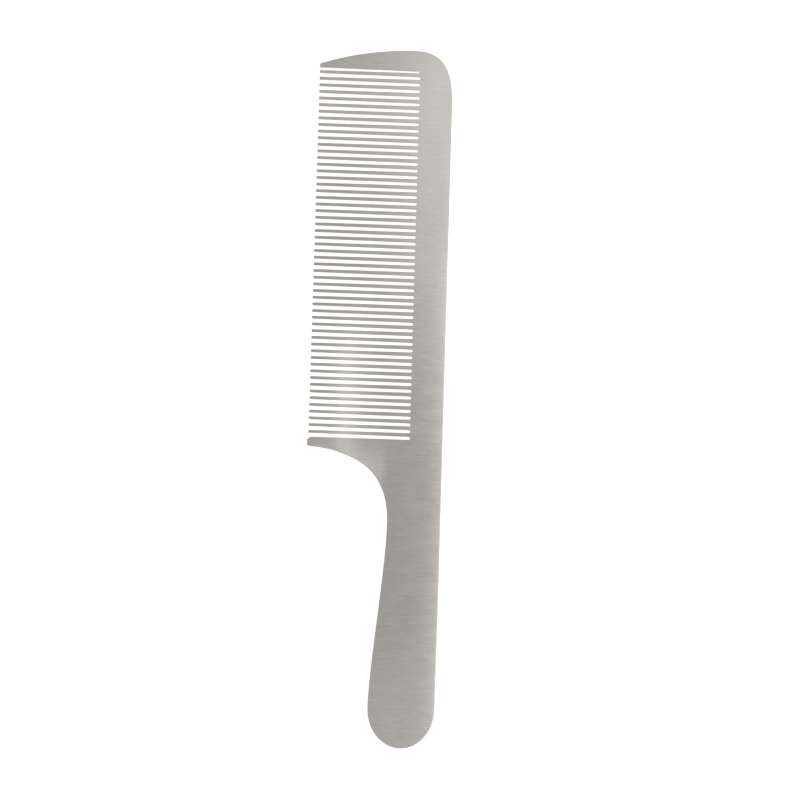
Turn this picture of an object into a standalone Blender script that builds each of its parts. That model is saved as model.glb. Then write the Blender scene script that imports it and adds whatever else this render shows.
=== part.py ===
# Barber's comb with a handle, one flat plate of stainless sheet.
#
# Frame of the part: metres, +Z up.  The comb lies on its flat underside.
# The long axis is Y: the handle points towards -Y and the comb head towards
# +Y.  The straight spine edge is on the +X side, the teeth point to -X.
# The origin is the middle of the bounding box on the underside.
#
# Every outline point is written as (y, reach), where reach is the distance
# from the straight spine edge towards the tooth tips, in millimetres.

import math

import bmesh
import bpy

for obj in list(bpy.data.objects):
    bpy.data.objects.remove(obj, do_unlink=True)

MM = 0.001

# ------------------------------------------------------------ overall sizes
LENGTH = 219.7             # handle end to comb head
WIDTH = 42.63              # spine edge to the tip of the lower guard tooth
THICKNESS = 1.0            # sheet thickness
EDGE_BREAK = 0.12          # bevel that takes the sharp edge off all round

# -------------------------------------------------------------------- teeth
PITCH = 25.4 / 12.0        # twelve teeth to the inch
SLOT_COUNT = 56            # gaps, so 55 fine teeth between two guard teeth
FIRST_SLOT_Y = -13.18      # middle of the gap next to the lower guard tooth
SLOT_ROOT = 10.32          # spine edge to the closed end of a gap
SLOT_WIDTH_ROOT = 0.90     # gap width at its closed end
SLOT_WIDTH_MOUTH = 1.22    # gap width at the tooth tips
LAST_SLOT_TRIM = 0.30      # the gap next to the upper guard tooth is narrower by this
TOOTH_REACH = 42.30        # spine edge to the tips of the fine teeth
TOOTH_LEAN = math.radians(0.5)
LEAN_PIVOT = 22.1          # reach at which FIRST_SLOT_Y is measured
TIP_RADIUS = 0.30          # rounding of the two corners of a tooth tip

# -------------------------------------------------------- head and shoulder
SHOULDER_Y = 92.55          # where the spine begins to round over
SHOULDER_REACH = 12.4     # where the rounding meets the top edge
SHOULDER_PULL_Y = 12.7     # curve handle along the spine
SHOULDER_PULL_X = 8.6      # curve handle along the top edge
TOP_RADIUS = 93.5          # long arc of the top edge
UPPER_GUARD_REACH = 42.32
UPPER_GUARD_RADIUS = 0.35

# -------------------------------------------------------- lower guard tooth
LOWER_GUARD_CUT = 0.92     # bevelled corner on the tooth side of the tip
LOWER_GUARD_RADIUS = 0.50  # rounded corner on the handle side of the tip
GUARD_SIDE_Y = -16.57      # handle side of the guard tooth at its tip
GUARD_SIDE_REACH = 41.68
GUARD_SIDE_SLOPE = 0.088  # how fast that side falls away towards the spine

# ------------------------------------------------------------------- handle
NECK_TOP_Y = -39.8         # narrowest part of the handle, upper end
NECK_LOW_Y = -40.5         # narrowest part of the handle, lower end
NECK_REACH = 16.78         # width of the handle there
NECK_PULL_GUARD = 15.17    # curve handle at the guard tooth
NECK_PULL_HANDLE = 15.72   # curve handle at the neck
HANDLE_REACH = 21.16       # widest part of the handle
HANDLE_PULL_NECK = 14.0
HANDLE_PULL_END = 13.2
END_LONG = 12.25           # rounded end, half axis along the handle
END_EASE = 0.20            # the spine edge draws in by this much at the end
EASE_START_Y = -60.0
END_Y = -0.5 * LENGTH + END_LONG

# gaps below the shoulder, each with a point of its own on the spine edge
SPINE_SLOTS = 50

ROOT_STEPS = 6
TIP_STEPS = 2
SHOULDER_STEPS = 14
TOP_STEPS = 10
NECK_STEPS = 20
HANDLE_STEPS = 10
END_STEPS = 28


def bezier(p0, p1, p2, p3, steps):
    """Points of a cubic curve, both ends included."""
    points = []
    for i in range(steps + 1):
        t = i / steps
        s = 1.0 - t
        a = s * s * s
        b = 3.0 * s * s * t
        c = 3.0 * s * t * t
        d = t * t * t
        y = a * p0[0] + b * p1[0] + c * p2[0] + d * p3[0]
        r = a * p0[1] + b * p1[1] + c * p2[1] + d * p3[1]
        points.append((y, r))
    return points


def rounded_corner(before, corner, after, radius, steps):
    """Arc of the given radius that replaces the corner of two lines."""
    ay = before[0] - corner[0]
    ar = before[1] - corner[1]
    by = after[0] - corner[0]
    br = after[1] - corner[1]
    la = math.hypot(ay, ar)
    lb = math.hypot(by, br)
    ay, ar, by, br = ay / la, ar / la, by / lb, br / lb
    half = 0.5 * math.acos(max(-1.0, min(1.0, ay * by + ar * br)))
    back = radius / math.tan(half)
    my, mr = ay + by, ar + br
    lm = math.hypot(my, mr)
    cy = corner[0] + my / lm * radius / math.sin(half)
    cr = corner[1] + mr / lm * radius / math.sin(half)
    start = math.atan2(corner[1] + ar * back - cr, corner[0] + ay * back - cy)
    end = math.atan2(corner[1] + br * back - cr, corner[0] + by * back - cy)
    sweep = (end - start + math.pi) % (2.0 * math.pi) - math.pi
    points = []
    for i in range(steps + 1):
        angle = start + sweep * i / steps
        points.append((cy + radius * math.cos(angle), cr + radius * math.sin(angle)))
    return points


def slot_trim(index):
    """What a gap loses on its high side; only the last gap loses any."""
    return LAST_SLOT_TRIM if index == SLOT_COUNT - 1 else 0.0


def slot_side(index, side, reach):
    """Edge of gap number index at the given reach; side is -1 low, +1 high."""
    trim = slot_trim(index)
    middle = FIRST_SLOT_Y + index * PITCH - 0.5 * trim
    middle += math.tan(TOOTH_LEAN) * (reach - LEAN_PIVOT)
    share = (reach - SLOT_ROOT) / (TOOTH_REACH - SLOT_ROOT)
    width = SLOT_WIDTH_ROOT + (SLOT_WIDTH_MOUTH - SLOT_WIDTH_ROOT) * share - trim
    return (middle + side * 0.5 * width, reach)


def slot_root(index):
    """Half-round closed end of a gap, from its high side to its low side."""
    trim = slot_trim(index)
    radius = 0.5 * (SLOT_WIDTH_ROOT - trim)
    centre_reach = SLOT_ROOT + trim + radius
    middle = FIRST_SLOT_Y + index * PITCH - 0.5 * trim
    middle += math.tan(TOOTH_LEAN) * (centre_reach - LEAN_PIVOT)
    points = []
    for i in range(ROOT_STEPS + 1):
        angle = math.pi * i / ROOT_STEPS
        y = middle + radius * math.cos(angle)
        r = centre_reach - radius * math.sin(angle)
        points.append((y, r))
    return points


def tooth_tip(index):
    """Blunt tip of the fine tooth below gap number index, two round corners."""
    high = slot_side(index, -1, TOOTH_REACH)
    low = slot_side(index - 1, 1, TOOTH_REACH)
    high_root = slot_side(index, -1, SLOT_ROOT + 1.0)
    low_root = slot_side(index - 1, 1, SLOT_ROOT + 1.0)
    points = rounded_corner(high_root, high, low, TIP_RADIUS, TIP_STEPS)
    points += rounded_corner(high, low, low_root, TIP_RADIUS, TIP_STEPS)
    return points


def handle_side():
    """Finger side of the handle, from the neck to its widest part."""
    p0 = (NECK_LOW_Y, NECK_REACH)
    p1 = (NECK_LOW_Y - HANDLE_PULL_NECK, NECK_REACH)
    p2 = (END_Y + HANDLE_PULL_END, HANDLE_REACH)
    p3 = (END_Y, HANDLE_REACH)
    return bezier(p0, p1, p2, p3, HANDLE_STEPS)


def handle_end():
    """Rounded end of the handle, without the points on its two sides."""
    half_width = 0.5 * (HANDLE_REACH - END_EASE)
    middle = 0.5 * (HANDLE_REACH + END_EASE)
    points = []
    for i in range(1, END_STEPS):
        angle = math.pi * i / END_STEPS
        y = END_Y - END_LONG * math.sin(angle)
        points.append((y, middle + half_width * math.cos(angle)))
    return points


def spine():
    """Spine edge upwards, with a point across from each handle and gap point."""
    points = []
    for y, reach in reversed(handle_side()):
        share = max(0.0, (EASE_START_Y - y) / (EASE_START_Y - END_Y))
        points.append((y, END_EASE * share))
    for index in range(SPINE_SLOTS):
        points.append((slot_root(index)[ROOT_STEPS // 2][0], 0.0))
    return points


def head():
    """Rounded shoulder, the long arc of the top edge and the upper guard tip."""
    top_y = 0.5 * LENGTH
    p0 = (SHOULDER_Y, 0.0)
    p1 = (SHOULDER_Y + SHOULDER_PULL_Y, 0.0)
    p2 = (top_y, SHOULDER_REACH - SHOULDER_PULL_X)
    p3 = (top_y, SHOULDER_REACH)
    points = bezier(p0, p1, p2, p3, SHOULDER_STEPS)
    full = math.asin((UPPER_GUARD_REACH - SHOULDER_REACH) / TOP_RADIUS)
    for i in range(1, TOP_STEPS):
        angle = full * i / TOP_STEPS
        y = top_y - TOP_RADIUS * (1.0 - math.cos(angle))
        points.append((y, SHOULDER_REACH + TOP_RADIUS * math.sin(angle)))
    high = (top_y - TOP_RADIUS * (1.0 - math.cos(full)), UPPER_GUARD_REACH)
    low = slot_side(SLOT_COUNT - 1, 1, UPPER_GUARD_REACH)
    inner = slot_side(SLOT_COUNT - 1, 1, SLOT_ROOT + 1.0)
    points += rounded_corner(points[-1], high, low, UPPER_GUARD_RADIUS, 3)
    points += rounded_corner(high, low, inner, UPPER_GUARD_RADIUS, 3)
    return points


def lower_guard_and_neck():
    """Blunt guard tooth with one bevelled corner, then the finger curve."""
    cut_start = slot_side(0, -1, WIDTH - LOWER_GUARD_CUT)
    cut_end = (cut_start[0] - LOWER_GUARD_CUT, WIDTH)
    slope = GUARD_SIDE_SLOPE
    corner = (GUARD_SIDE_Y + slope * (WIDTH - GUARD_SIDE_REACH), WIDTH)
    side = (GUARD_SIDE_Y, GUARD_SIDE_REACH)
    points = [cut_start, cut_end]
    points += rounded_corner(cut_end, corner, side, LOWER_GUARD_RADIUS, 3)
    length = math.hypot(slope, 1.0)
    p1 = (side[0] - NECK_PULL_GUARD * slope / length, side[1] - NECK_PULL_GUARD / length)
    p2 = (NECK_TOP_Y + NECK_PULL_HANDLE, NECK_REACH)
    p3 = (NECK_TOP_Y, NECK_REACH)
    points += bezier(side, p1, p2, p3, NECK_STEPS)
    return points


def inset(outline, distance):
    """The outline moved inwards by the same distance everywhere."""
    count = len(outline)
    moved = []
    for i in range(count):
        ax, ay = outline[i - 1]
        bx, by = outline[i]
        cx, cy = outline[(i + 1) % count]
        ex, ey = bx - ax, by - ay
        fx, fy = cx - bx, cy - by
        le = math.hypot(ex, ey)
        lf = math.hypot(fx, fy)
        nx = -ey / le - fy / lf
        ny = ex / le + fx / lf
        ln = math.hypot(nx, ny)
        reach = distance / (0.5 * ln)
        moved.append((bx + nx / ln * reach, by + ny / ln * reach))
    return moved


def plate_outline():
    """Closed outline in the XY plane, counter-clockwise seen from above.

    Also returns where each stretch of it lies, as lists of point numbers.
    """
    stretches = [("spine", spine()), ("head", head())]
    for index in range(SLOT_COUNT - 1, 0, -1):
        stretches.append((("root", index), slot_root(index)))
        stretches.append((("tip", index), tooth_tip(index)))
    stretches.append((("root", 0), slot_root(0)))
    stretches.append(("guard", lower_guard_and_neck()))
    stretches.append(("side", handle_side()))
    stretches.append(("end", handle_end()))
    outline = []
    where = {}
    spine_x = 0.5 * WIDTH
    for name, points in stretches:
        where[name] = list(range(len(outline), len(outline) + len(points)))
        outline += [(spine_x - reach, y) for y, reach in points]
    return outline, where


def strip(right, left, outline):
    """Triangles between two chains, always closing the shorter diagonal."""
    faces = []
    i = 0
    j = 0
    while i < len(right) - 1 or j < len(left) - 1:
        grow_right = math.inf
        grow_left = math.inf
        if i < len(right) - 1:
            grow_right = math.dist(outline[right[i + 1]], outline[left[j]])
        if j < len(left) - 1:
            grow_left = math.dist(outline[right[i]], outline[left[j + 1]])
        if grow_right <= grow_left:
            faces.append((left[j], right[i], right[i + 1]))
            i += 1
        else:
            faces.append((left[j], right[i], left[j + 1]))
            j += 1
    return faces


def face_pattern(outline, where):
    """Flat faces of the upper side as loops of point numbers."""
    half = ROOT_STEPS // 2
    faces = []
    for index in range(SLOT_COUNT - 1, 0, -1):
        high = where[("root", index)]
        low = where[("root", index - 1)]
        tip = where[("tip", index)]
        last = len(tip) - 1
        faces.append((high[-1], tip[0], tip[last], low[0]))
        for i in range(last // 2):
            faces.append((tip[i], tip[i + 1], tip[last - i - 1], tip[last - i]))
        for i in range(half):
            faces.append((high[-1 - i], low[i], low[i + 1], high[-2 - i]))
    side = where["side"]
    spine_points = where["spine"]
    handle_points = spine_points[:len(side)]
    slot_points = spine_points[len(side):]
    for index in range(1, SPINE_SLOTS):
        high_root = where[("root", index)][half]
        low_root = where[("root", index - 1)][half]
        faces.append((high_root, low_root, slot_points[index - 1], slot_points[index]))
    half_root = where[("root", SLOT_COUNT - 1)][:half + 1]
    inner_chain = []
    for index in range(SPINE_SLOTS - 1, SLOT_COUNT - 1):
        inner_chain.append(where[("root", index)][half])
    inner_chain += reversed(half_root)
    outer_chain = [slot_points[-1]] + where["head"]
    faces += strip(outer_chain, inner_chain, outline)
    root = where[("root", 0)][half:]
    guard = where["guard"]
    faces += strip([slot_points[0]] + root[:2], [handle_points[-1]], outline)
    faces += strip(root[1:], [handle_points[-1], side[0]], outline)
    neck_chain = [side[0]] + list(reversed(guard[2:]))
    faces += strip([root[-1]] + guard[:2], neck_chain, outline)
    for i in range(len(side) - 1):
        faces.append((side[i], side[i + 1], handle_points[-2 - i], handle_points[-1 - i]))
    end = [side[-1]] + where["end"] + [handle_points[0]]
    last = len(end) - 1
    for i in range(last // 2 - 1):
        faces.append((end[i], end[i + 1], end[last - i - 1], end[last - i]))
    middle = last // 2
    faces.append((end[middle - 1], end[middle], end[middle + 1]))
    return faces


def add_ring(bm, outline, height):
    return [bm.verts.new((x * MM, y * MM, height * MM)) for x, y in outline]


def build_plate():
    outline, where = plate_outline()
    inner = inset(outline, EDGE_BREAK)
    bm = bmesh.new()
    rings = [
        add_ring(bm, inner, 0.0),
        add_ring(bm, outline, EDGE_BREAK),
        add_ring(bm, outline, THICKNESS - EDGE_BREAK),
        add_ring(bm, inner, THICKNESS),
    ]
    count = len(outline)
    for below, above in zip(rings[:-1], rings[1:]):
        for i in range(count):
            j = (i + 1) % count
            bm.faces.new((below[i], below[j], above[j], above[i]))
    flat = []
    for loop in face_pattern(outline, where):
        flat.append(bm.faces.new([rings[-1][i] for i in loop]))
        flat.append(bm.faces.new([rings[0][i] for i in reversed(loop)]))
    bmesh.ops.triangulate(bm, faces=flat)
    mesh = bpy.data.meshes.new("comb_plate")
    bm.to_mesh(mesh)
    bm.free()
    comb = bpy.data.objects.new("comb_plate", mesh)
    bpy.context.scene.collection.objects.link(comb)
    return comb


def brushed_steel():
    material = bpy.data.materials.new("brushed_steel")
    material.use_nodes = True
    shader = material.node_tree.nodes["Principled BSDF"]
    shader.inputs["Base Color"].default_value = (0.60, 0.59, 0.575, 1.0)
    shader.inputs["Metallic"].default_value = 1.0
    shader.inputs["Roughness"].default_value = 0.34
    return material


comb_plate = build_plate()
comb_plate.data.materials.append(brushed_steel())
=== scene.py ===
# Looks of the one-piece barber's comb: a finer plate with polished round
# edges in place of the CAD solid, in brushed stainless steel, on a light table.
#
# Frame: metres, +Z up, the comb lies flat with its handle towards -Y, its
# teeth towards -X and its spine edge on the +X side.

import math

import bpy
from mathutils import Matrix, Vector


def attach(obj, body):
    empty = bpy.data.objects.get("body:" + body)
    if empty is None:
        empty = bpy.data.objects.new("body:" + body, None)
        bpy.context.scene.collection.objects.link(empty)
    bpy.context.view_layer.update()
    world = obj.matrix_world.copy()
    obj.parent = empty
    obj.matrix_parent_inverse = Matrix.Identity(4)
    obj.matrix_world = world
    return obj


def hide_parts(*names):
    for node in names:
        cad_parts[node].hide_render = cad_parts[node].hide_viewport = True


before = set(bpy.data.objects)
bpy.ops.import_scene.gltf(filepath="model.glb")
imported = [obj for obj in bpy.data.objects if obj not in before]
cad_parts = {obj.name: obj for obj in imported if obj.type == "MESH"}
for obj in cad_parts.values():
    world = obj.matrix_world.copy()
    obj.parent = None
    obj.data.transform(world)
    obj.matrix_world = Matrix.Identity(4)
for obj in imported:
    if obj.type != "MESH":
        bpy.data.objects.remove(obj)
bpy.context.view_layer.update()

MM = 0.001

# All sizes are in millimetres. Reach is the distance from the spine edge.

# ------------------------------------------------------------ overall sizes
LENGTH = 219.7             # handle end to comb head
WIDTH = 42.63              # spine edge to the tip of the lower guard tooth
THICKNESS = 1.0            # sheet thickness
EDGE_ROUND = 0.10          # polished rounding along every edge
SPINE_ROUND = 0.28         # the spine edge is rounded further, for the hand
EDGE_RINGS = 5             # rings of points from the flat face to the side

# -------------------------------------------------------------------- teeth
PITCH = 25.4 / 12.0        # twelve teeth to the inch
SLOT_COUNT = 56            # gaps, so 55 fine teeth between two guard teeth
FIRST_SLOT_Y = -13.18      # middle of the gap next to the lower guard tooth
SLOT_ROOT = 10.32          # spine edge to the closed end of a gap
SLOT_WIDTH_ROOT = 0.90     # gap width at its closed end
SLOT_WIDTH_MOUTH = 1.22    # gap width at the tooth tips
LAST_SLOT_TRIM = 0.30      # the gap next to the upper guard tooth is narrower by this
TOOTH_REACH = 42.30        # spine edge to the tips of the fine teeth
TOOTH_LEAN = math.radians(0.5)
LEAN_PIVOT = 22.1          # reach at which FIRST_SLOT_Y is measured
TIP_RADIUS = 0.30          # rounding of the two corners of a tooth tip

# -------------------------------------------------------- head and shoulder
SHOULDER_Y = 92.55         # where the spine begins to round over
SHOULDER_REACH = 12.4      # where the rounding meets the top edge
SHOULDER_PULL_Y = 12.7     # curve handle along the spine
SHOULDER_PULL_X = 8.6      # curve handle along the top edge
TOP_RADIUS = 93.5          # long arc of the top edge
UPPER_GUARD_REACH = 42.32  # spine edge to the tip of the upper guard tooth
UPPER_GUARD_RADIUS = 0.35  # rounding of the two corners of its tip

# -------------------------------------------------------- lower guard tooth
LOWER_GUARD_CUT = 0.92     # bevelled corner on the tooth side of the tip
LOWER_GUARD_RADIUS = 0.50  # rounded corner on the handle side of the tip
GUARD_SIDE_Y = -16.57      # handle side of the guard tooth at its tip
GUARD_SIDE_REACH = 41.68   # where the straight bit ends and the finger curve begins
GUARD_SIDE_SLOPE = 0.088   # how fast that side falls away towards the spine

# ------------------------------------------------------------------- handle
NECK_TOP_Y = -39.8         # narrowest part of the handle, upper end
NECK_LOW_Y = -40.5         # narrowest part of the handle, lower end
NECK_REACH = 16.78         # width of the handle there
NECK_PULL_GUARD = 15.17    # curve handle at the guard tooth
NECK_PULL_HANDLE = 15.72   # curve handle at the neck
HANDLE_REACH = 21.16       # widest part of the handle
HANDLE_PULL_NECK = 14.0    # curve handle at the neck, on the handle side
HANDLE_PULL_END = 13.2     # curve handle at the widest part
END_LONG = 12.25           # rounded end, half axis along the handle
END_EASE = 0.20            # the spine edge draws in by this much at the end
EASE_START_Y = -60.0       # where it begins to draw in
END_Y = -0.5 * LENGTH + END_LONG  # where the rounded end begins

# gaps below the shoulder, each with a point of its own on the spine edge
SPINE_SLOTS = 50

# steps along each curved stretch of the outline
ROOT_STEPS = 10
TIP_STEPS = 4
GUARD_STEPS = 3
SHOULDER_STEPS = 40
TOP_STEPS = 24
NECK_STEPS = 56
HANDLE_STEPS = 28
END_STEPS = 80

# depth into a gap of the second point that gives the direction of its side
SIDE_DEPTH = 1.0

# the brushing map only carries a direction: U runs along the comb, V across
MAP_SCALE = 4.0
MAP_MIDDLE = 0.5

# ------------------------------------------------------------- steel colours
STEEL_DARK = (0.565, 0.542, 0.507, 1.0)
STEEL_LIGHT = (0.665, 0.642, 0.606, 1.0)
PIT_TINT = (0.45, 0.44, 0.43, 1.0)

# ------------------------------------------------------------ floor and lamps
FLOOR_HALF = 3.0           # half the side of the floor, metres
FLOOR_GAP = 0.3            # the floor lies this far below the comb
FLOOR_GLOW = 0.72
LAMP_COLOUR = (1.0, 0.995, 0.985)

# ------------------------------------------------------------------- camera
LENS = 100.0               # focal length
SENSOR = 36.0              # sensor width
FAR_CLIP = 50.0            # metres
DISTANCE = 0.69795         # lens to the point aimed at, metres
TIP = math.radians(3.764)  # tipped so that the handle is nearer the lens
ROLL = math.radians(1.680)  # turn about the line of sight
AIM_REACH = 13.81
AIM_Y = -1.30


def bezier(p0, p1, p2, p3, steps):
    """Points of a cubic curve, both ends included."""
    points = []
    for i in range(steps + 1):
        t = i / steps
        s = 1.0 - t
        a = s * s * s
        b = 3.0 * s * s * t
        c = 3.0 * s * t * t
        d = t * t * t
        y = a * p0[0] + b * p1[0] + c * p2[0] + d * p3[0]
        r = a * p0[1] + b * p1[1] + c * p2[1] + d * p3[1]
        points.append((y, r))
    return points


def rounded_corner(before, corner, after, radius, steps):
    """Arc of the given radius that replaces the corner of two lines."""
    ay = before[0] - corner[0]
    ar = before[1] - corner[1]
    by = after[0] - corner[0]
    br = after[1] - corner[1]
    la = math.hypot(ay, ar)
    lb = math.hypot(by, br)
    ay, ar, by, br = ay / la, ar / la, by / lb, br / lb
    half = 0.5 * math.acos(max(-1.0, min(1.0, ay * by + ar * br)))
    back = radius / math.tan(half)
    my, mr = ay + by, ar + br
    lm = math.hypot(my, mr)
    cy = corner[0] + my / lm * radius / math.sin(half)
    cr = corner[1] + mr / lm * radius / math.sin(half)
    start = math.atan2(corner[1] + ar * back - cr, corner[0] + ay * back - cy)
    end = math.atan2(corner[1] + br * back - cr, corner[0] + by * back - cy)
    sweep = (end - start + math.pi) % (2.0 * math.pi) - math.pi
    points = []
    for i in range(steps + 1):
        angle = start + sweep * i / steps
        points.append((cy + radius * math.cos(angle), cr + radius * math.sin(angle)))
    return points


def slot_trim(index):
    """What a gap loses on its high side; only the last gap loses any."""
    return LAST_SLOT_TRIM if index == SLOT_COUNT - 1 else 0.0


def slot_side(index, side, reach):
    """Edge of gap number index at the given reach; side is -1 low, +1 high."""
    trim = slot_trim(index)
    middle = FIRST_SLOT_Y + index * PITCH - 0.5 * trim
    middle += math.tan(TOOTH_LEAN) * (reach - LEAN_PIVOT)
    share = (reach - SLOT_ROOT) / (TOOTH_REACH - SLOT_ROOT)
    width = SLOT_WIDTH_ROOT + (SLOT_WIDTH_MOUTH - SLOT_WIDTH_ROOT) * share - trim
    return (middle + side * 0.5 * width, reach)


def slot_root(index):
    """Half-round closed end of a gap, from its high side to its low side."""
    trim = slot_trim(index)
    radius = 0.5 * (SLOT_WIDTH_ROOT - trim)
    centre_reach = SLOT_ROOT + trim + radius
    middle = FIRST_SLOT_Y + index * PITCH - 0.5 * trim
    middle += math.tan(TOOTH_LEAN) * (centre_reach - LEAN_PIVOT)
    points = []
    for i in range(ROOT_STEPS + 1):
        angle = math.pi * i / ROOT_STEPS
        y = middle + radius * math.cos(angle)
        r = centre_reach - radius * math.sin(angle)
        points.append((y, r))
    return points


def tooth_tip(index):
    """Blunt tip of the fine tooth below gap number index, two round corners."""
    high = slot_side(index, -1, TOOTH_REACH)
    low = slot_side(index - 1, 1, TOOTH_REACH)
    high_root = slot_side(index, -1, SLOT_ROOT + SIDE_DEPTH)
    low_root = slot_side(index - 1, 1, SLOT_ROOT + SIDE_DEPTH)
    points = rounded_corner(high_root, high, low, TIP_RADIUS, TIP_STEPS)
    points += rounded_corner(high, low, low_root, TIP_RADIUS, TIP_STEPS)
    return points


def handle_side():
    """Finger side of the handle, from the neck to its widest part."""
    p0 = (NECK_LOW_Y, NECK_REACH)
    p1 = (NECK_LOW_Y - HANDLE_PULL_NECK, NECK_REACH)
    p2 = (END_Y + HANDLE_PULL_END, HANDLE_REACH)
    p3 = (END_Y, HANDLE_REACH)
    return bezier(p0, p1, p2, p3, HANDLE_STEPS)


def handle_end():
    """Rounded end of the handle, without the points on its two sides."""
    half_width = 0.5 * (HANDLE_REACH - END_EASE)
    middle = 0.5 * (HANDLE_REACH + END_EASE)
    points = []
    for i in range(1, END_STEPS):
        angle = math.pi * i / END_STEPS
        y = END_Y - END_LONG * math.sin(angle)
        points.append((y, middle + half_width * math.cos(angle)))
    return points


def spine():
    """Spine edge upwards, with a point across from each handle and gap point."""
    points = []
    for y, reach in reversed(handle_side()):
        share = max(0.0, (EASE_START_Y - y) / (EASE_START_Y - END_Y))
        points.append((y, END_EASE * share))
    for index in range(SPINE_SLOTS):
        points.append((slot_root(index)[ROOT_STEPS // 2][0], 0.0))
    return points


def head():
    """Rounded shoulder, the long arc of the top edge and the upper guard tip."""
    top_y = 0.5 * LENGTH
    p0 = (SHOULDER_Y, 0.0)
    p1 = (SHOULDER_Y + SHOULDER_PULL_Y, 0.0)
    p2 = (top_y, SHOULDER_REACH - SHOULDER_PULL_X)
    p3 = (top_y, SHOULDER_REACH)
    points = bezier(p0, p1, p2, p3, SHOULDER_STEPS)
    full = math.asin((UPPER_GUARD_REACH - SHOULDER_REACH) / TOP_RADIUS)
    for i in range(1, TOP_STEPS):
        angle = full * i / TOP_STEPS
        y = top_y - TOP_RADIUS * (1.0 - math.cos(angle))
        points.append((y, SHOULDER_REACH + TOP_RADIUS * math.sin(angle)))
    high = (top_y - TOP_RADIUS * (1.0 - math.cos(full)), UPPER_GUARD_REACH)
    low = slot_side(SLOT_COUNT - 1, 1, UPPER_GUARD_REACH)
    inner = slot_side(SLOT_COUNT - 1, 1, SLOT_ROOT + SIDE_DEPTH)
    points += rounded_corner(points[-1], high, low, UPPER_GUARD_RADIUS, GUARD_STEPS)
    points += rounded_corner(high, low, inner, UPPER_GUARD_RADIUS, GUARD_STEPS)
    return points


def lower_guard_and_neck():
    """Blunt guard tooth with one bevelled corner, then the finger curve."""
    cut_start = slot_side(0, -1, WIDTH - LOWER_GUARD_CUT)
    cut_end = (cut_start[0] - LOWER_GUARD_CUT, WIDTH)
    slope = GUARD_SIDE_SLOPE
    corner = (GUARD_SIDE_Y + slope * (WIDTH - GUARD_SIDE_REACH), WIDTH)
    side = (GUARD_SIDE_Y, GUARD_SIDE_REACH)
    points = [cut_start, cut_end]
    points += rounded_corner(cut_end, corner, side, LOWER_GUARD_RADIUS, GUARD_STEPS)
    length = math.hypot(slope, 1.0)
    p1 = (side[0] - NECK_PULL_GUARD * slope / length, side[1] - NECK_PULL_GUARD / length)
    p2 = (NECK_TOP_Y + NECK_PULL_HANDLE, NECK_REACH)
    p3 = (NECK_TOP_Y, NECK_REACH)
    points += bezier(side, p1, p2, p3, NECK_STEPS)
    return points


def plate_outline():
    """Closed outline in the XY plane, counter-clockwise seen from above.

    Also returns where each stretch of it lies, as lists of point numbers.
    """
    stretches = [("spine", spine()), ("head", head())]
    for index in range(SLOT_COUNT - 1, 0, -1):
        stretches.append((("root", index), slot_root(index)))
        stretches.append((("tip", index), tooth_tip(index)))
    stretches.append((("root", 0), slot_root(0)))
    stretches.append(("guard", lower_guard_and_neck()))
    stretches.append(("side", handle_side()))
    stretches.append(("end", handle_end()))
    outline = []
    where = {}
    spine_x = 0.5 * WIDTH
    for name, points in stretches:
        where[name] = list(range(len(outline), len(outline) + len(points)))
        outline += [(spine_x - reach, y) for y, reach in points]
    return outline, where


def strip(right, left, outline):
    """Triangles between two chains, always closing the shorter diagonal."""
    faces = []
    i = 0
    j = 0
    while i < len(right) - 1 or j < len(left) - 1:
        grow_right = math.inf
        grow_left = math.inf
        if i < len(right) - 1:
            grow_right = math.dist(outline[right[i + 1]], outline[left[j]])
        if j < len(left) - 1:
            grow_left = math.dist(outline[right[i]], outline[left[j + 1]])
        if grow_right <= grow_left:
            faces.append((left[j], right[i], right[i + 1]))
            i += 1
        else:
            faces.append((left[j], right[i], left[j + 1]))
            j += 1
    return faces


def face_pattern(outline, where):
    """Flat faces of the upper side as loops of point numbers."""
    half = ROOT_STEPS // 2
    faces = []
    for index in range(SLOT_COUNT - 1, 0, -1):
        high = where[("root", index)]
        low = where[("root", index - 1)]
        tip = where[("tip", index)]
        last = len(tip) - 1
        faces.append((high[-1], tip[0], tip[last], low[0]))
        for i in range(last // 2):
            faces.append((tip[i], tip[i + 1], tip[last - i - 1], tip[last - i]))
        for i in range(half):
            faces.append((high[-1 - i], low[i], low[i + 1], high[-2 - i]))
    side = where["side"]
    spine_points = where["spine"]
    handle_points = spine_points[:len(side)]
    slot_points = spine_points[len(side):]
    for index in range(1, SPINE_SLOTS):
        high_root = where[("root", index)][half]
        low_root = where[("root", index - 1)][half]
        faces.append((high_root, low_root, slot_points[index - 1], slot_points[index]))
    half_root = where[("root", SLOT_COUNT - 1)][:half + 1]
    inner_chain = []
    for index in range(SPINE_SLOTS - 1, SLOT_COUNT - 1):
        inner_chain.append(where[("root", index)][half])
    inner_chain += reversed(half_root)
    outer_chain = [slot_points[-1]] + where["head"]
    faces += strip(outer_chain, inner_chain, outline)
    root = where[("root", 0)][half:]
    guard = where["guard"]
    faces += strip([slot_points[0]] + root[:2], [handle_points[-1]], outline)
    faces += strip(root[1:], [handle_points[-1], side[0]], outline)
    neck_chain = [side[0]] + list(reversed(guard[2:]))
    faces += strip([root[-1]] + guard[:2], neck_chain, outline)
    for i in range(len(side) - 1):
        faces.append((side[i], side[i + 1], handle_points[-2 - i], handle_points[-1 - i]))
    end = [side[-1]] + where["end"] + [handle_points[0]]
    last = len(end) - 1
    for i in range(last // 2 - 1):
        faces.append((end[i], end[i + 1], end[last - i - 1], end[last - i]))
    middle = last // 2
    faces.append((end[middle - 1], end[middle], end[middle + 1]))
    return faces


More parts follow.
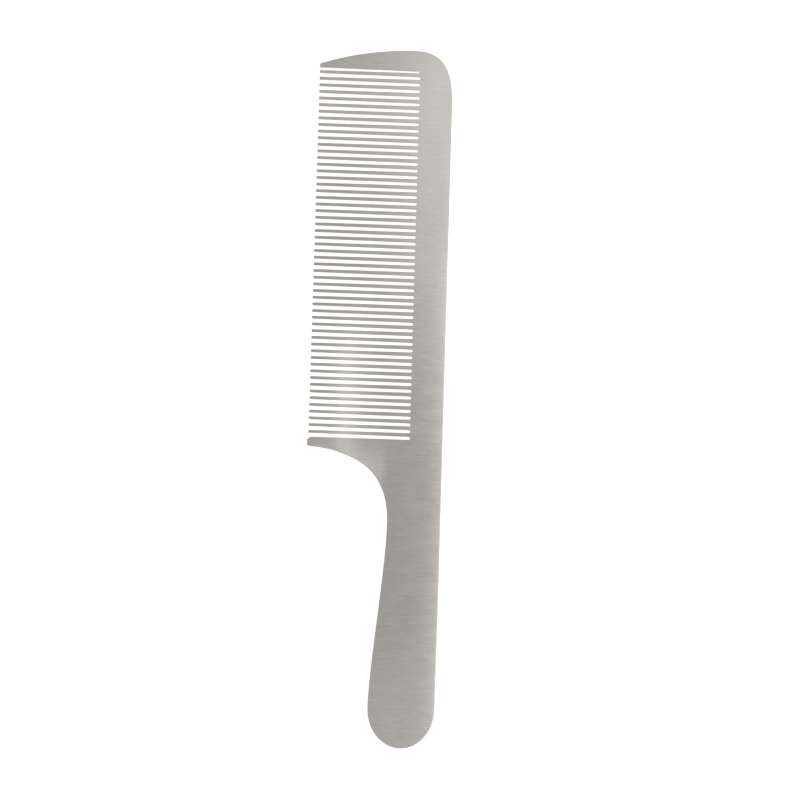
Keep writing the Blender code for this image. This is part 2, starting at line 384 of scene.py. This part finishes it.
def edge_directions(outline):
    """Outward direction at each outline point, its mitre stretch and rounding.

    The rounding grows with how squarely the edge faces the spine side.
    """
    count = len(outline)
    directions = []
    for i in range(count):
        ax, ay = outline[i - 1]
        bx, by = outline[i]
        cx, cy = outline[(i + 1) % count]
        ex, ey = bx - ax, by - ay
        fx, fy = cx - bx, cy - by
        le = math.hypot(ex, ey)
        lf = math.hypot(fx, fy)
        nx = ey / le + fy / lf
        ny = -ex / le - fx / lf
        ln = math.hypot(nx, ny)
        spine_share = max(0.0, nx / ln) ** 2
        radius = EDGE_ROUND + (SPINE_ROUND - EDGE_ROUND) * spine_share
        directions.append((nx / ln, ny / ln, 2.0 / ln, radius))
    return directions


def build_plate():
    """Plate with quarter-round edges, and shading normals that follow them."""
    outline, where = plate_outline()
    directions = edge_directions(outline)
    count = len(outline)
    verts = []
    normals = []
    profile = []
    for i in range(EDGE_RINGS + 1):
        angle = 0.5 * math.pi * i / EDGE_RINGS
        profile.append((1.0 - math.sin(angle), 1.0 - math.cos(angle), angle))
    rings = [(back, up, angle, -1.0) for back, up, angle in profile]
    rings += [(back, up, angle, 1.0) for back, up, angle in reversed(profile)]
    for back, up, angle, side in rings:
        for (x, y), (nx, ny, stretch, radius) in zip(outline, directions):
            height = radius * up
            if side > 0.0:
                height = THICKNESS - height
            move = radius * back * stretch
            verts.append(((x - nx * move) * MM, (y - ny * move) * MM, height * MM))
            flat = math.sin(angle)
            normals.append((nx * flat, ny * flat, side * math.cos(angle)))
    faces = []
    for ring in range(len(rings) - 1):
        low = ring * count
        high = low + count
        for i in range(count):
            j = (i + 1) % count
            faces.append((low + i, low + j, high + j, high + i))
    top = (len(rings) - 1) * count
    for loop in face_pattern(outline, where):
        faces.append(tuple(top + i for i in loop))
        faces.append(tuple(reversed(loop)))
    mesh = bpy.data.meshes.new("steel_comb")
    mesh.from_pydata(verts, [], faces)
    mesh.validate()
    uv = mesh.uv_layers.new(name="brushing")
    for loop in mesh.loops:
        x, y, z = verts[loop.vertex_index]
        u = y * MAP_SCALE + MAP_MIDDLE
        v = x * MAP_SCALE + MAP_MIDDLE
        uv.data[loop.index].uv = (u, v)
    mesh.polygons.foreach_set("use_smooth", [True] * len(mesh.polygons))
    mesh.normals_split_custom_set_from_vertices(normals)
    comb = bpy.data.objects.new("steel_comb", mesh)
    bpy.context.scene.collection.objects.link(comb)
    return comb


class Nodes:
    """Short way to add shader nodes and join them up."""

    def __init__(self, tree):
        self.tree = tree

    def add(self, kind, **values):
        node = self.tree.nodes.new(kind)
        for name, value in values.items():
            setattr(node, name, value)
        return node

    def link(self, source, target):
        self.tree.links.new(source, target)

    def coords(self, source, scale, location=(0.0, 0.0, 0.0)):
        mapping = self.add("ShaderNodeMapping")
        mapping.inputs["Scale"].default_value = scale
        mapping.inputs["Location"].default_value = location
        self.link(source, mapping.inputs["Vector"])
        return mapping.outputs["Vector"]

    def noise(self, vector, detail, rough=0.5):
        noise = self.add("ShaderNodeTexNoise")
        noise.inputs["Scale"].default_value = 1.0
        noise.inputs["Detail"].default_value = detail
        noise.inputs["Roughness"].default_value = rough
        self.link(vector, noise.inputs["Vector"])
        return noise.outputs["Fac"]

    def remap(self, source, low, high, to_low, to_high):
        node = self.add("ShaderNodeMapRange")
        node.inputs["From Min"].default_value = low
        node.inputs["From Max"].default_value = high
        node.inputs["To Min"].default_value = to_low
        node.inputs["To Max"].default_value = to_high
        self.link(source, node.inputs["Value"])
        return node.outputs["Result"]

    def maths(self, kind, first, second):
        node = self.add("ShaderNodeMath", operation=kind)
        for socket, value in zip(node.inputs, (first, second)):
            if isinstance(value, (int, float)):
                socket.default_value = value
            else:
                self.link(value, socket)
        return node.outputs["Value"]


def brushed_steel():
    """Stainless sheet brushed across the comb, along X.

    The noise is stretched along X: its scales, per metre, are small there and
    large along Y, which makes fine lines side by side.
    """
    material = bpy.data.materials.new("brushed_stainless")
    material.use_nodes = True
    tree = material.node_tree
    shader = tree.nodes["Principled BSDF"]
    nodes = Nodes(tree)
    place = nodes.add("ShaderNodeTexCoord").outputs["Object"]

    fine = nodes.noise(nodes.coords(place, (380.0, 4200.0, 380.0)), 3.0, 0.6)
    medium = nodes.noise(nodes.coords(place, (220.0, 1500.0, 220.0), (3.0, 7.0, 1.0)), 3.0, 0.6)
    broad = nodes.noise(nodes.coords(place, (110.0, 300.0, 110.0), (9.0, 2.0, 5.0)), 2.0)
    cloud = nodes.noise(nodes.coords(place, (70.0, 45.0, 70.0), (1.0, 4.0, 8.0)), 3.0)
    speck = nodes.noise(nodes.coords(place, (900.0, 1700.0, 900.0)), 2.0)
    scratch = nodes.noise(nodes.coords(place, (230.0, 3000.0, 230.0), (5.0, 11.0, 3.0)), 1.0)

    fine_share = nodes.maths("MULTIPLY", fine, 0.45)
    medium_share = nodes.maths("MULTIPLY", medium, 0.35)
    lines = nodes.maths("ADD", fine_share, medium_share)
    lines = nodes.maths("ADD", lines, nodes.maths("MULTIPLY", broad, 0.20))
    bright = nodes.remap(scratch, 0.62, 0.74, 0.0, 0.70)
    pits = nodes.remap(speck, 0.72, 0.82, 0.0, 0.12)

    # colour: the brushed lines, a few brighter scratches and a few dull pits
    tone = nodes.maths("ADD", nodes.remap(lines, 0.36, 0.64, 0.0, 1.0), bright)
    ramp = nodes.add("ShaderNodeValToRGB")
    ramp.color_ramp.elements[0].position = 0.0
    ramp.color_ramp.elements[0].color = STEEL_DARK
    ramp.color_ramp.elements[1].position = 1.0
    ramp.color_ramp.elements[1].color = STEEL_LIGHT
    nodes.link(tone, ramp.inputs["Fac"])
    dulling = nodes.add("ShaderNodeMix", data_type="RGBA", blend_type="MULTIPLY")
    nodes.link(pits, dulling.inputs["Factor"])
    nodes.link(ramp.outputs["Color"], dulling.inputs["A"])
    dulling.inputs["B"].default_value = PIT_TINT
    nodes.link(dulling.outputs["Result"], shader.inputs["Base Color"])

    # polish: rougher along the lines, with soft clouds over the whole plate
    rough = nodes.remap(lines, 0.35, 0.65, 0.28, 0.38)
    rough = nodes.maths("ADD", rough, nodes.remap(cloud, 0.3, 0.7, -0.03, 0.03))
    nodes.link(rough, shader.inputs["Roughness"])

    bump = nodes.add("ShaderNodeBump")
    bump.inputs["Strength"].default_value = 0.35
    bump.inputs["Distance"].default_value = 0.000012
    nodes.link(lines, bump.inputs["Height"])
    nodes.link(bump.outputs["Normal"], shader.inputs["Normal"])

    tangent = nodes.add("ShaderNodeTangent", direction_type="UV_MAP", uv_map="brushing")
    nodes.link(tangent.outputs["Tangent"], shader.inputs["Tangent"])
    shader.inputs["Metallic"].default_value = 1.0
    shader.inputs["Anisotropic"].default_value = 0.65
    return material


def light_table():
    """Plain pale floor that glows, like a light table."""
    mesh = bpy.data.meshes.new("light_table")
    corners = []
    for x_sign, y_sign in ((-1.0, -1.0), (1.0, -1.0), (1.0, 1.0), (-1.0, 1.0)):
        corners.append((x_sign * FLOOR_HALF, y_sign * FLOOR_HALF, -FLOOR_GAP * MM))
    mesh.from_pydata(corners, [], [(0, 1, 2, 3)])
    floor = bpy.data.objects.new("light_table", mesh)
    bpy.context.scene.collection.objects.link(floor)
    material = bpy.data.materials.new("light_table")
    material.use_nodes = True
    shader = material.node_tree.nodes["Principled BSDF"]
    shader.inputs["Base Color"].default_value = (0.8, 0.8, 0.8, 1.0)
    shader.inputs["Roughness"].default_value = 0.9
    shader.inputs["Emission Color"].default_value = (1.0, 1.0, 1.0, 1.0)
    shader.inputs["Emission Strength"].default_value = FLOOR_GLOW
    mesh.materials.append(material)
    return floor


def softbox(name, middle, across, along, brightness):
    """Rectangular lamp over the comb, facing straight down.

    Its middle and sizes are in millimetres, and brightness is per unit area.
    """
    data = bpy.data.lights.new(name, "AREA")
    data.shape = "RECTANGLE"
    data.size = across * MM
    data.size_y = along * MM
    data.energy = brightness * math.pi * data.size * data.size_y
    data.color = LAMP_COLOUR
    light = bpy.data.objects.new(name, data)
    bpy.context.scene.collection.objects.link(light)
    light.location = Vector(middle) * MM
    light.visible_camera = False


def studio_world():
    """Pale overhead, darker towards the horizon except on the spine side."""
    world = bpy.data.worlds.new("studio")
    bpy.context.scene.world = world
    world.use_nodes = True
    nodes = Nodes(world.node_tree)
    background = world.node_tree.nodes["Background"]
    direction = nodes.add("ShaderNodeTexCoord").outputs["Generated"]
    split = nodes.add("ShaderNodeSeparateXYZ")
    nodes.link(direction, split.inputs["Vector"])
    overhead = nodes.remap(split.outputs["Z"], -0.1, 0.9, 0.12, 0.53)
    spine_side = nodes.remap(split.outputs["X"], 0.35, 0.95, 0.0, 0.60)
    nodes.link(nodes.maths("ADD", overhead, spine_side), background.inputs["Strength"])
    background.inputs["Color"].default_value = (1.0, 1.0, 1.0, 1.0)


def camera():
    """Above the comb, tipped a little, so that the handle is nearer the lens."""
    data = bpy.data.cameras.new("camera")
    data.lens = LENS
    data.sensor_width = SENSOR
    data.clip_end = FAR_CLIP
    cam = bpy.data.objects.new("camera", data)
    bpy.context.scene.collection.objects.link(cam)
    aim = Vector((0.5 * WIDTH - AIM_REACH, AIM_Y, THICKNESS)) * MM
    turn = Matrix.Rotation(TIP, 4, "X") @ Matrix.Rotation(ROLL, 4, "Z")
    back = Vector((0.0, -math.sin(TIP), math.cos(TIP)))
    cam.matrix_world = Matrix.Translation(aim + back * DISTANCE) @ turn
    bpy.context.scene.camera = cam


comb = build_plate()
comb.data.materials.append(brushed_steel())
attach(comb, "root")
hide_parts("comb_plate")

floor = light_table()
studio_world()

# name, middle, size across the comb, size along it, brightness
softbox("head_softbox", (58.0, 145.0, 160.0), 100.0, 210.0, 0.50)
softbox("crown_softbox", (-6.0, 100.0, 35.0), 60.0, 36.0, 0.11)
softbox("spine_softbox", (45.0, -60.0, 45.0), 42.0, 220.0, 0.72)
softbox("edge_strip", (28.8, -10.0, 20.0), 13.5, 200.0, 0.20)
softbox("handle_softbox", (12.0, -115.0, 50.0), 50.0, 60.0, 0.11)
softbox("root_strip", (12.0, 60.0, 18.0), 7.0, 44.0, 0.06)
softbox("tooth_softbox", (-8.5, 2.0, 50.0), 7.0, 60.0, 0.20)
softbox("tooth_strip", (-10.2, -2.5, 20.0), 5.0, 39.0, 0.34)
softbox("guard_tip_strip", (-18.5, -22.5, 12.0), 11.0, 10.0, 0.50)
softbox("guard_strip", (-3.0, -22.5, 12.0), 12.0, 10.0, 0.22)
camera()
bpy.context.scene.view_settings.view_transform = "Standard"
